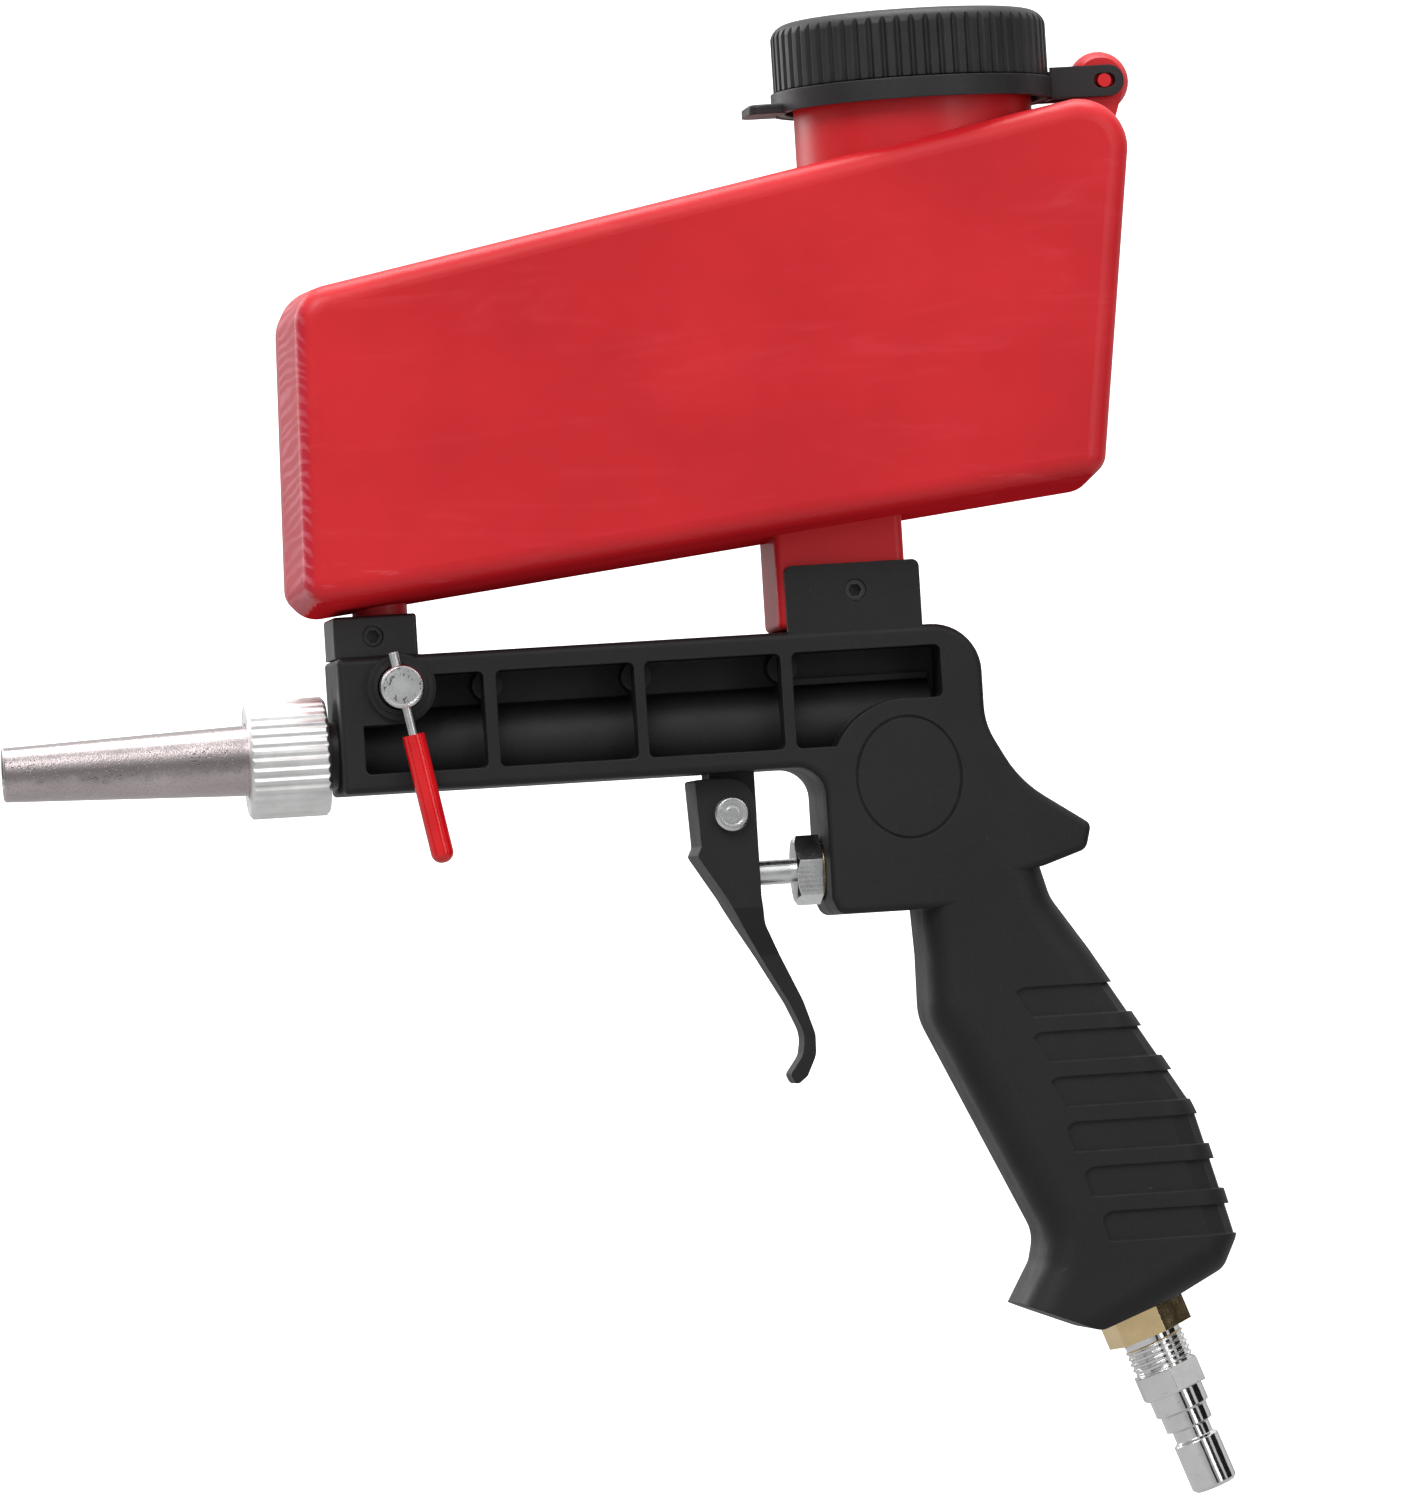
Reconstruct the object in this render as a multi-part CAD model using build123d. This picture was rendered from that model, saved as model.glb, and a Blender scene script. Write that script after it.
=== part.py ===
from build123d import *
import math
import os

os.makedirs("parts", exist_ok=True)

# Hand-held gravity-feed abrasive blast gun. Millimetres. The nozzle's mouth is at the origin, the
# barrel runs along +X to the rear, the hopper is up (+Z), and the gun's left side faces -Y.

# Body shells
HALF = 16.5
TOP = 20.8
BOTTOM = -9.1
FRONT = 73.6
EDGE = 1.6
GRIP_EDGE = 7.5
FIT = 0.05
GAP = 0.3
# Nozzle and its nut
NOZZLE_BORE = 3.0
NOZZLE_MOUTH_R = 6.0
NOZZLE_ROOT_R = 7.8
NUT_X0 = 53.8
NUT_X1 = 71.5
NUT_R = 13.1
NUT_RIDGES = 36
THREAD_R = 10.0
# Media valve
SPINDLE_X = 87.1
SPINDLE_Z = 13.7
SPINDLE_R = 4.75
MEDIA_X = 86.3
ROD_LEAN = 10.3
ROD_Y = -20.3
# Trigger
PIVOT_X = 159.2
PIVOT_Z = -18.3
# Air valve
VALVE_Z = -31.7
STEM_R = 2.75
# Air inlet, down the grip
INLET_LEAN = 19.8
INLET_X = 244.75
INLET_Z = -133.4
# Hopper
HOPPER_HALF = 30.0
WALL = 2.2
SPIGOT_X = 85.2
SPIGOT_R = 6.1
NECK_X = 210.8
NECK_R = 26.5
NECK_BORE = 24.3
NECK_TOP = 151.5
# Cap and its swing ring
HINGE_X = 253.2
HINGE_Z = 139.3
CAP_R = 30.6
CAP_RIBS = 60
RING_R = 31.3
# Hopper foot and the ears that hold it
FOOT_SCREW_X = 189.0
FOOT_SCREW_Z = 29.2

SCREWS = [(107.0, 13.2), (140.1, 13.2), (172.6, 13.2), (210.8, 12.2), (183.4, -15.4),
          (230.0, -25.6), (209.0, -64.0), (253.5, -113.0), (227.0, -126.5)]


# Turns a cylinder's seam to face +Y, off the parting plane
SEAM = Rot(0, 0, 90)


def cyl_x(r, x0, x1, y=0.0, z=0.0):
    return Pos(x0, y, z) * Rot(0, 90, 0) * SEAM * Cylinder(r, x1 - x0, align=(Align.CENTER, Align.CENTER, Align.MIN))


def cyl_y(r, y0, y1, x, z):
    return Pos(x, y0, z) * Rot(-90, 0, 0) * Cylinder(r, y1 - y0, align=(Align.CENTER, Align.CENTER, Align.MIN))


def cyl_z(r, z0, z1, x, y=0.0):
    return Pos(x, y, z0) * SEAM * Cylinder(r, z1 - z0, align=(Align.CENTER, Align.CENTER, Align.MIN))


def block(x0, x1, y0, y1, z0, z1):
    return Pos(x0, y0, z0) * Box(x1 - x0, y1 - y0, z1 - z0, align=(Align.MIN, Align.MIN, Align.MIN))


def inlet_at(s):
    """Placement on the inlet's axis, s mm below the hex bushing's top; its local +Z runs down the axis."""
    lean = math.radians(INLET_LEAN)
    return Pos(INLET_X + s * math.sin(lean), 0, INLET_Z - s * math.cos(lean)) * Rot(0, 180 - INLET_LEAN, 0)


def inlet_cyl(r, s0, s1):
    return inlet_at(s0) * SEAM * Cylinder(r, s1 - s0, align=(Align.CENTER, Align.CENTER, Align.MIN))


def inlet_hex(across_flats, s0, s1, turn):
    face = RegularPolygon(across_flats / 2, 6, major_radius=False)
    return inlet_at(s0) * Rot(0, 0, turn) * extrude(face, s1 - s0)


def outline(corners):
    """Closed face in x and z from (x, z, corner radius); a radius is trimmed to what its sides allow."""
    count = len(corners)
    cuts = []
    for i in range(count):
        x, z, r = corners[i]
        px, pz = corners[i - 1][:2]
        qx, qz = corners[(i + 1) % count][:2]
        p_len = math.hypot(px - x, pz - z)
        q_len = math.hypot(qx - x, qz - z)
        ux, uz = (px - x) / p_len, (pz - z) / p_len
        vx, vz = (qx - x) / q_len, (qz - z) / q_len
        half = math.acos(max(-1.0, min(1.0, ux * vx + uz * vz))) / 2
        r = min(r, 0.48 * min(p_len, q_len) * math.tan(half))
        if r <= 0:
            cuts.append(((x, z), None, (x, z)))
            continue
        run = r / math.tan(half)
        bx, bz = ux + vx, uz + vz
        b_len = math.hypot(bx, bz)
        reach = r / math.sin(half) - r
        middle = (x + bx / b_len * reach, z + bz / b_len * reach)
        cuts.append(((x + ux * run, z + uz * run), middle, (x + vx * run, z + vz * run)))
    edges = []
    for i in range(count):
        start, middle, end = cuts[i]
        if middle:
            edges.append(ThreePointArc(start, middle, end))
        following = cuts[(i + 1) % count][0]
        if math.dist(end, following) > 1e-6:
            edges.append(Line(end, following))
    return make_face(Curve() + edges)


def plate(corners, y0, y1):
    return Pos(0, y1, 0) * extrude(Plane.XZ * outline(corners), y1 - y0)


def turned(points, x=0.0, z=0.0):
    """Solid turned about an axis along X, from (distance along X, radius) points."""
    face = make_face(Polyline(*[(px, pr) for px, pr in points], close=True))
    return Pos(x, 0, z) * revolve(face, Axis.X)


def tube_x(r, bore, x0, x1, z=0.0):
    return cyl_x(r, x0, x1, 0, z) - cyl_x(bore, x0 - 1, x1 + 1, 0, z)


def one(shape):
    """The single solid that a feature must come out as."""
    solids = shape.solids()
    assert len(solids) == 1, len(solids)
    return solids[0]


# Body shells ------------------------------------------------------------------------------------

UPPER = [(FRONT, BOTTOM, 1.0), (FRONT, TOP, 1.0), (216.2, TOP, 11.0), (216.2, -2.0, 16.0), (223.2, -15.0, 26.0),
         (238.4, -25.4, 1.8), (237.0, -30.9, 2.5), (227.5, -34.0, 0), (214.0, -37.0, 0), (208.0, -42.0, 0),
         (181.2, -42.0, 2.5), (179.8, -38.5, 2.0), (179.8, BOTTOM, 6.5)]
GRIP = [(199.5, -26.0, 0), (200.6, -52.0, 10.0), (200.4, -66.0, 14.0), (223.2, -115.5, 12.0), (221.8, -121.5, 5.0),
        (216.6, -130.4, 0), (233.6, -137.4, 4.0), (253.2, -130.3, 0), (262.6, -125.4, 5.0), (266.4, -117.5, 6.0),
        (258.8, -89.0, 60.0), (237.0, -53.0, 40.0), (229.0, -41.0, 10.0), (225.0, -26.0, 0)]


def left_outside():
    """Outer form of the left half."""
    upper = plate(UPPER, -HALF, 0)
    rim = [e for e in upper.edges() if e.center().Y < 0.01 - HALF]
    rim = [e for e in rim if e.center().Z > -33 or e.center().X < 207]
    upper = fillet(rim, EDGE)
    grip = plate(GRIP, -HALF, 0)
    rim = [e for e in grip.edges() if e.center().Y < 0.01 - HALF and -128 < e.center().Z < -27]
    return upper + fillet([e for e in rim if e.center().X < 256 or e.center().Z > -122], GRIP_EDGE)


def back_x(z):
    """Rear edge of the grip at height z."""
    line = [(237.0, -53.0), (258.8, -89.0), (266.4, -117.5)]
    for (xa, za), (xb, zb) in zip(line, line[1:]):
        if z >= zb:
            return xa + (z - za) * (xb - xa) / (zb - za)
    return line[-1][0]


def grip_slots():
    """Shallow finger slots that start blind and run round to the back of the grip."""
    slots = []
    depth = 0.8
    for i in range(6):
        top = -60.6 - 10.1 * i
        low = top - 6.7
        start = 218.4 + 3.27 * i
        back = back_x(top)
        shear = back_x(low) - back
        flat = HALF - depth
        side = make_face(Polyline((start, -HALF - 3), (start, -flat), (back - 7.5, -flat), (back - 3.6, -14.3),
                                  (back - 1.6, -11.6), (back - depth, -8.2), (back - depth, -3.0), (back + 8, -3.0),
                                  (back + 8, -HALF - 3), close=True))
        band = Pos(0, 0, top) * extrude(side, amount=math.hypot(shear, top - low), dir=(shear, 0, low - top))
        shape = plate([(start, low, 3.0), (start, top, 3.0), (back + 9, top, 0), (back + 9, low, 0)], -HALF - 4, 0)
        groove = band & shape
        slots.append(groove)
    return slots


def windows():
    """Recesses between the barrel's ribs, with the round barrel wall left standing in them."""
    low, high = -5.0, 16.2
    spans = [(78.6, 105.6), (108.3, 138.9), (141.2, 171.4), (173.9, 207.0)]
    cutters = []
    for i, (x0, x1) in enumerate(spans):
        corners = [(x0, low, 1.3), (x1, low, 1.3), (x1, high, 1.3), (x0, high, 1.3)]
        if i == 3:
            corners = [(x0, low, 1.3), (198.5, low, 0), (198.5, 4.6, 0), (x1, 4.6, 1.3), (x1, high, 1.3), (x0, high, 1.3)]
        cutters.append(plate(corners, -HALF - 1, -2.2))
    cut = cutters[0] + cutters[1:]
    keep = [cyl_x(9.5, 70, 205.5), cyl_y(8.0, -HALF - 2, 0, SPINDLE_X, SPINDLE_Z), block(78, SPINDLE_X, -HALF - 2, 0, 5.7, TOP),
            cyl_y(17.4, -HALF - 2, 0, 198.4, -12.7), block(173.5, 205.5, -4.5, 0, 9.2, 10.7)]
    for x, z in SCREWS[:3]:
        keep.append(cyl_y(3.3, -9.5, 0, x, z))
    cut = cut - keep
    return cut


def medallion():
    """Blank oval groove."""
    ring = Ellipse(11.9, 13.7) - Ellipse(11.3, 13.1)
    return Pos(198.4, -HALF + 0.5, -12.7) * Rot(90, 0, 0) * extrude(ring, 2)


def pockets():
    """Room inside the shells for the metal parts."""
    valve = turned([(179, 0), (179, 6.3), (182.4, 6.3), (182.4, 8.0), (225.2, 8.0), (225.2, 0)], 0, VALVE_Z)
    room = [valve, cyl_x(7.8, FRONT - 1, 102.0), cyl_z(7.7, 0, TOP + 1, MEDIA_X),
            cyl_y(7.3, -10.3, 12.2, SPINDLE_X, SPINDLE_Z), cyl_x(4.0 + FIT, 101.0, 190.0),
            block(186.7, 198.6, -5.8, 5.8, -7.3, 5.8), cyl_z(6.5, -30, -20.6, 193.5), cyl_z(4.3, -30, 0, 193.5),
            inlet_cyl(7.3, -108.5, -88.2), inlet_cyl(5.0 + FIT, -95, 0), inlet_cyl(8.3 + FIT, -12.3, 8)]
    hollow = plate([(204.5, -55.0, 4), (205.0, -66.0, 4), (227.0, -115.0, 4), (226.5, -121.0, 4), (224.5, -127.5, 3),
                    (233.5, -132.0, 3), (256.0, -123.6, 4), (261.8, -117.0, 4), (254.6, -90.0, 20), (232.6, -54.0, 4)],
                   -12.6, 12.6)
    for s in (-72, -50, -28, -9):
        hollow -= inlet_at(s) * Box(90, 40, 2.4)
    for x, z in SCREWS[6:]:
        hollow -= cyl_y(4.2, -13, 13, x, z)
    return room + list(hollow.solids())


def half_shell():
    """Left half with all that both halves share."""
    body = left_outside()
    hanger = plate([(155.2, -6, 0), (155.2, -24.0, 4.9), (165.2, -24.0, 4.9), (165.2, -6, 0)], -7.1, 0)
    body += hanger
    body -= cyl_y(2.0 + FIT, -8, 1, PIVOT_X, PIVOT_Z)
    for pocket in pockets():
        body -= pocket
    for groove in grip_slots():
        body -= groove
    ear = plate([(173.6, 15, 0), (203.5, 15, 0), (203.5, 35.3, 1.6), (173.6, 35.3, 1.6)], -16.3, -14.0)
    body += ear
    body -= cyl_y(2.45, -18, 0, FOOT_SCREW_X, FOOT_SCREW_Z)
    body -= windows()
    return body - medallion()


def shells():
    half = half_shell()
    left = half + cyl_y(7.3, -HALF - 1.4, -12, SPINDLE_X, SPINDLE_Z)
    left += cyl_y(6.0, -HALF - 2.1, -12, SPINDLE_X, SPINDLE_Z)
    left -= cyl_y(SPINDLE_R + GAP, -HALF - 3, 1, SPINDLE_X, SPINDLE_Z)
    right = mirror(half, Plane.XZ) - cyl_y(6.5, 9.0, 12.2, SPINDLE_X, SPINDLE_Z)
    for x, z in SCREWS:
        left -= cyl_y(1.5 + FIT, -9.0, 1, x, z)
        right -= cyl_y(1.5 + FIT, -1, 20, x, z)
        right -= cyl_y(3.0, 13.8, 20, x, z)
    return one(left), one(right)


def body_screw(x, z):
    screw = cyl_y(1.5, -8.8, 14.0, x, z) + cyl_y(2.75, 13.85, 16.2, x, z)
    return one(screw - Pos(x, 15.2, z) * Rot(-90, 0, 0) * extrude(RegularPolygon(1.25, 6, major_radius=False), 3))


# Nozzle end --------------------------------------------------------------------------------------

def nozzle():
    shape = turned([(0, NOZZLE_BORE), (0, NOZZLE_MOUTH_R - 0.4), (0.4, NOZZLE_MOUTH_R), (53.5, NOZZLE_ROOT_R),
                    (56.2, NOZZLE_ROOT_R + 0.1), (56.2, 9.95), (60.0, 9.95), (60.0, 5.0), (48.0, NOZZLE_BORE)])
    return one(shape)


def nozzle_nut():
    points = []
    for i in range(NUT_RIDGES):
        for part, r in ((0.0, 12.62), (0.28, NUT_R), (0.62, NUT_R), (0.9, 12.62)):
            turn = 2 * math.pi * (i + part) / NUT_RIDGES
            points.append((r * math.cos(turn), r * math.sin(turn)))
    ridged = Pos(NUT_X0, 0, 0) * Rot(0, 90, 0) * extrude(make_face(Polyline(*points, close=True)), NUT_X1 - NUT_X0)
    envelope = turned([(NUT_X0, 0), (NUT_X0, NUT_R - 0.9), (NUT_X0 + 0.8, NUT_R + 0.05), (NUT_X1 - 0.8, NUT_R + 0.05),
                       (NUT_X1, NUT_R - 0.9), (NUT_X1, 0)])
    nut = ridged & envelope
    nut -= cyl_x(8.25, NUT_X0 - 1, NUT_X1)
    nut -= cyl_x(THREAD_R + FIT, 56.2, NUT_X1 + 1)
    return one(nut)


def feed_block():
    shape = cyl_x(THREAD_R, 61.6, 71.0) + cyl_x(7.5, 70.5, 76.6) + cyl_x(7.4, 76, 101.0)
    shape += cyl_z(7.4, 0, 21.2, MEDIA_X)
    shape += cyl_y(7.0, -10.0, 10.0, SPINDLE_X, SPINDLE_Z)
    lug = block(FRONT, 92.1, -12, 12, TOP + 0.1, 30.0)
    lug = fillet(lug.edges().filter_by(Axis.Z) + lug.edges().group_by(Axis.Z)[-1], 0.7)
    shape += lug
    shape -= cyl_x(5.0, 60, 90.5)
    shape -= cyl_x(4.0 + FIT, 90, 102)
    shape -= cyl_z(3.4, 0, 22, MEDIA_X)
    shape -= cyl_z(SPIGOT_R + FIT, 21.4, 31, SPIGOT_X)
    shape -= cyl_y(SPINDLE_R + FIT, -11, 11, SPINDLE_X, SPINDLE_Z)
    shape -= cyl_y(2.3 + FIT, -13, -5.0, 82.3, 25.4)
    return one(shape)


def front_set_screw():
    screw = cyl_y(2.3, -11.4, -6.45, 82.3, 25.4)
    socket = Pos(82.3, -9.4, 25.4) * Rot(90, 0, 0) * extrude(RegularPolygon(1.25, 6, major_radius=False), 3)
    return one(screw - socket)


def nozzle_seal():
    return one(tube_x(9.6, 5.4, 60.0, 61.6))


def air_jet():
    shape = turned([(88.4, 1.2), (88.4, 1.8), (91.0, 2.9), (91.0, 4.0), (96.4, 4.0), (96.4, 1.2)])
    return one(shape)


def air_tube():
    return one(tube_x(4.0, 2.7, 96.6, 190.6))


def air_elbow():
    shape = block(187.0, 198.2, -5.5, 5.5, -7.0, 5.5)
    shape = fillet(shape.edges().filter_by(Axis.Y), 1.5)
    shape -= cyl_x(4.0 + FIT, 186, 190.8)
    shape -= cyl_x(2.7, 190, 196.4)
    shape -= cyl_z(4.0 + FIT, -8, -3.9, 193.5)
    shape -= cyl_z(2.3, -5, 0, 193.5)
    return one(shape)


# Media valve -------------------------------------------------------------------------------------

def rod_at(t):
    lean = math.radians(ROD_LEAN)
    return Pos(SPINDLE_X + t * math.sin(lean), ROD_Y, SPINDLE_Z - t * math.cos(lean)) * Rot(0, 180 - ROD_LEAN, 0)


def rod_cyl(r, t0, t1):
    return rod_at(t0) * Cylinder(r, t1 - t0, align=(Align.CENTER, Align.CENTER, Align.MIN))


def valve_spindle():
    shape = cyl_y(SPINDLE_R, -23.0, 11.7, SPINDLE_X, SPINDLE_Z)
    shape = chamfer(shape.edges().group_by(Axis.Y)[0], 0.35)
    shape -= cyl_y(4.05, -23.5, -22.75, SPINDLE_X, SPINDLE_Z)
    port = rod_at(-10) * Cylinder(3.0, 20, align=(Align.CENTER, Align.CENTER, Align.MIN))
    shape -= Pos(0, -ROD_Y, 0) * port
    for y in (-7.4, 5.6):
        shape -= cyl_y(6, y, y + 1.8, SPINDLE_X, SPINDLE_Z) - cyl_y(3.6, y, y + 1.8, SPINDLE_X, SPINDLE_Z)
    shape -= cyl_y(6, 10.25, 11.15, SPINDLE_X, SPINDLE_Z) - cyl_y(3.6, 10.25, 11.15, SPINDLE_X, SPINDLE_Z)
    shape -= rod_cyl(1.12, -6, 6)
    return one(shape)


def spindle_ring(r, bore, y0, y1):
    return one(cyl_y(r, y0, y1, SPINDLE_X, SPINDLE_Z) - cyl_y(bore, y0 - 1, y1 + 1, SPINDLE_X, SPINDLE_Z))


def lever_rod():
    return one(rod_cyl(1.1, -7.8, 38.4))


def lever_sleeve():
    sleeve = rod_cyl(2.5, 10.8, 39.6)
    sleeve = fillet(sleeve.edges().group_by(Axis.Z)[0], 2.3)
    return one(sleeve - rod_cyl(1.13, 10, 38.6))


# Trigger -----------------------------------------------------------------------------------------

def trigger():
    corners = [(151.6, -10.4, 0.6), (152.2, -25.2, 1.0), (151.2, -27.2, 1.0), (157.2, -37.0, 16.0), (160.6, -43.5, 20.0),
               (165.8, -53.0, 20.0), (170.2, -61.0, 15.0), (173.2, -68.0, 8.0), (172.4, -72.6, 4.0), (169.4, -76.6, 1.2),
               (170.6, -79.2, 0.9), (173.2, -77.2, 2.0), (175.4, -72.6, 5.0), (175.5, -68.0, 5.0), (173.2, -60.5, 15.0),
               (168.8, -50.6, 20.0), (165.4, -43.0, 6.0), (164.8, -37.0, 6.0), (164.8, -10.4, 6.4)]
    shape = plate(corners, -10.0, 10.0)
    channel = plate([(154.3, -4, 0), (154.8, -26.0, 1.0), (154.4, -27.4, 1.0), (160.4, -38.0, 6.0), (163.4, -43.8, 1.0),
                     (171.0, -43.8, 0), (171.0, -4, 0)], -7.4, 7.4)
    shape -= channel
    shape += block(153.6, 159.0, -5.0, 5.0, -35.6, -28.2) & plate(corners, -10, 10)
    front_view = Polyline((-10.5, -8), (-10.5, -38), (-5.6, -50), (-4.8, -82), (4.8, -82), (5.6, -50), (10.5, -38),
                          (10.5, -8), close=True)
    shape &= Pos(145, 0, 0) * extrude(Plane.YZ * make_face(front_view), 40)
    shape -= cyl_y(2.0 + FIT, -11, 11, PIVOT_X, PIVOT_Z)
    return one(shape)


def trigger_pin():
    shape = cyl_y(2.0, -10.3, 13.6, PIVOT_X, PIVOT_Z) + cyl_y(3.85, -12.7, -10.2, PIVOT_X, PIVOT_Z)
    shape = chamfer(shape.edges().group_by(Axis.Y)[0], 0.5)
    shape -= cyl_y(2.6, -13, -12.0, PIVOT_X, PIVOT_Z) - cyl_y(1.5, -12.4, -11, PIVOT_X, PIVOT_Z)
    return one(shape)


def hex_nut(x, z, y0, y1, across_flats, bore):
    nut = Pos(x, y0, z) * Rot(-90, 0, 0) * extrude(RegularPolygon(across_flats / 2, 6, major_radius=False), y1 - y0)
    return one(nut - cyl_y(bore, y0 - 1, y1 + 1, x, z))


# Air valve ---------------------------------------------------------------------------------------

def valve_body():
    shape = turned([(179.5, 0), (179.5, 6.0), (182.8, 6.0), (182.8, 7.6), (221.4, 7.6), (221.4, 0)], 0, VALVE_Z)
    shape += cyl_z(6.2, VALVE_Z, -21.0, 193.5)
    shape += inlet_cyl(6.9, -106, -88.6)
    bore = [(179, 0), (179, 5.0 + FIT), (188.6, 5.0 + FIT), (188.6, 4.6), (196.2, 4.6), (196.2, 3.9), (198, 3.9),
            (198, 5.9), (222, 5.9), (222, 0)]
    shape -= turned(bore, 0, VALVE_Z)
    shape -= cyl_z(4.0 + FIT, -25.4, -20, 193.5)
    shape -= cyl_z(2.4, VALVE_Z, -25, 193.5)
    shape -= inlet_cyl(5.0 + FIT, -96.8, -88)
    shape -= inlet_cyl(3.2, -106, -96)
    return one(shape)


def gland_nut():
    head = Pos(173.5, 0, VALVE_Z) * Rot(0, 90, 0) * Rot(0, 0, 14) * extrude(RegularPolygon(6.9, 6, major_radius=False), 5.8)
    head = head & turned([(173.5, 0), (173.5, 6.9), (174.4, 8.2), (179.5, 8.2), (179.5, 0)], 0, VALVE_Z)
    shape = head + cyl_x(5.0, 179, 186.4, 0, VALVE_Z)
    return one(shape - cyl_x(STEM_R + FIT, 173, 187, 0, VALVE_Z))


def stem_packing():
    return one(tube_x(4.98, STEM_R + 0.02, 186.4, 188.6, VALVE_Z))


def valve_stem():
    shape = cyl_x(STEM_R, 162.1, 199.2, 0, VALVE_Z)
    shape += Pos(162.1, 0, VALVE_Z) * Sphere(STEM_R)
    shape += cyl_x(5.2, 199.2, 201.4, 0, VALVE_Z)
    shape += cyl_x(2.1, 201, 206, 0, VALVE_Z)
    return one(shape)


def poppet_seal():
    return one(tube_x(5.1, STEM_R + 0.01, 198.0, 199.2, VALVE_Z))


def valve_end_plug():
    shape = cyl_x(5.85, 217.4, 221.6, 0, VALVE_Z) + cyl_x(2.1, 213.0, 217.6, 0, VALVE_Z)
    shape += Pos(221.4, 0, VALVE_Z) * Rot(0, 90, 0) * extrude(RegularPolygon(6.5, 6, major_radius=False), 3.4)
    return one(shape)


def valve_spring():
    height = 217.3 - 201.5 - 1.3
    path = Helix(pitch=height / 6, height=height, radius=3.7)
    coil = sweep(Plane(origin=path @ 0, z_dir=path % 0) * Circle(0.55), path=path)
    return one(Pos(202.15, 0, VALVE_Z) * Rot(0, 90, 0) * coil)


def air_riser():
    return one(cyl_z(4.0, -25.2, -4.0, 193.5) - cyl_z(2.7, -26, -3, 193.5))


def inlet_pipe():
    return one(inlet_cyl(5.0, -96.6, -4.2) - inlet_cyl(3.6, -98, -3))


def inlet_bushing():
    shape = inlet_cyl(8.3, -12.0, 0.5) + inlet_hex(17.2, 0.15, 6.2, 78)
    shape -= inlet_cyl(5.0 + FIT, -13, -4.0)
    shape -= inlet_cyl(4.0, -5, 7)
    shape -= inlet_cyl(6.5 + FIT, -1.5, 7)
    return one(shape)


def inlet_plug():
    shape = inlet_cyl(6.5, -1.0, 14.4) + inlet_hex(14.0, 14.3, 19.9, 93)
    profile = [(19.8, 0), (19.8, 6.2), (24.2, 6.2), (24.7, 5.4), (28.2, 5.4), (28.6, 4.3), (31.2, 4.3), (31.8, 5.2),
               (33.4, 5.2), (42.2, 5.2), (43.0, 4.4), (43.0, 0)]
    face = make_face(Polyline(*[(r, 0, s) for s, r in profile], close=True))
    shape += inlet_at(0) * revolve(face, Axis.Z)
    return one(shape - inlet_cyl(3.2, -2, 44))


# Hopper ------------------------------------------------------------------------------------------

def hopper_outline(bottom, rear, top, front, trim):
    """Hopper side view with each side moved out by its own amount and the corner radii less trim."""
    corners = [(66.6, 32.2), (244.5, 51.6), (256.1, 136.5), (68.5, 100.8)]
    sides = []
    for i, move in enumerate((bottom, rear, top, front)):
        x, z = corners[i]
        qx, qz = corners[(i + 1) % 4]
        run = math.hypot(qx - x, qz - z)
        ux, uz = (qx - x) / run, (qz - z) / run
        sides.append((x + uz * move, z - ux * move, ux, uz))
    points = []
    for i, radius in enumerate((5.0, 5.0, 10.5, 8.0)):
        ax, az, aux, auz = sides[i - 1]
        bx, bz, bux, buz = sides[i]
        t = ((bx - ax) * buz - (bz - az) * bux) / (aux * buz - auz * bux)
        points.append((ax + aux * t, az + auz * t, max(1.5, radius - trim)))
    return outline(points)


def hopper_block():
    """Hopper outside, with moulding draft from its middle plane and rounded side edges."""
    middle = hopper_outline(2.6, 1.4, 0.8, 1.8, -1.5)
    side = hopper_outline(0, 0, 0, 0, 0)
    left = loft([Plane.XZ * middle, Pos(0, -HOPPER_HALF, 0) * (Plane.XZ * side)], ruled=True)
    left = fillet(left.edges().group_by(Axis.Y)[0], 4.8)
    return left + mirror(left, Plane.XZ)


def hopper_space():
    """The straight-sided hollow that holds the media."""
    side = Plane.XZ * hopper_outline(-WALL, -WALL, -WALL, -WALL, WALL)
    space = extrude(side, HOPPER_HALF - WALL, both=True)
    return fillet(space.edges().filter_by(lambda e: abs(abs(e.center().Y) - HOPPER_HALF + WALL) < 0.01), 2.8)


def hopper():
    shape = hopper_block()
    shape += cyl_z(NECK_R, 118, NECK_TOP, NECK_X)
    foot = plate([(172.1, 21.3, 1.5), (200.9, 21.3, 2.0), (200.9, 48.5, 0), (172.1, 45.5, 0)], -13.6, 13.6)
    foot = fillet(foot.edges().filter_by(Axis.Z) , 2.0)
    shape += foot
    shape += cyl_z(SPIGOT_R, 21.8, 37, SPIGOT_X)
    knuckle = Pos(252.9, 0, HINGE_Z + 0.2) * Sphere(6.75) & block(240, 262, -4.4, 4.4, 130, 150)
    web = plate([(243.0, 129.0, 0), (247.6, 138.5, 0), (257.6, 137.0, 0), (253.4, 124.5, 0)], -4.4, 4.4)
    shape += [web, knuckle, cyl_y(1.5, -7.4, 7.4, HINGE_X, HINGE_Z)]
    shape -= hopper_space()
    shape -= cyl_z(NECK_BORE, 117, NECK_TOP + 1, NECK_X)
    shape -= cyl_z(4.0, 20, 40, SPIGOT_X)
    shape -= block(174.4, 198.6, -11.2, 11.2, 34.2, 52)
    shape -= cyl_y(2.45, -15, 15, FOOT_SCREW_X, FOOT_SCREW_Z)
    return one(shape)


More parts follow.
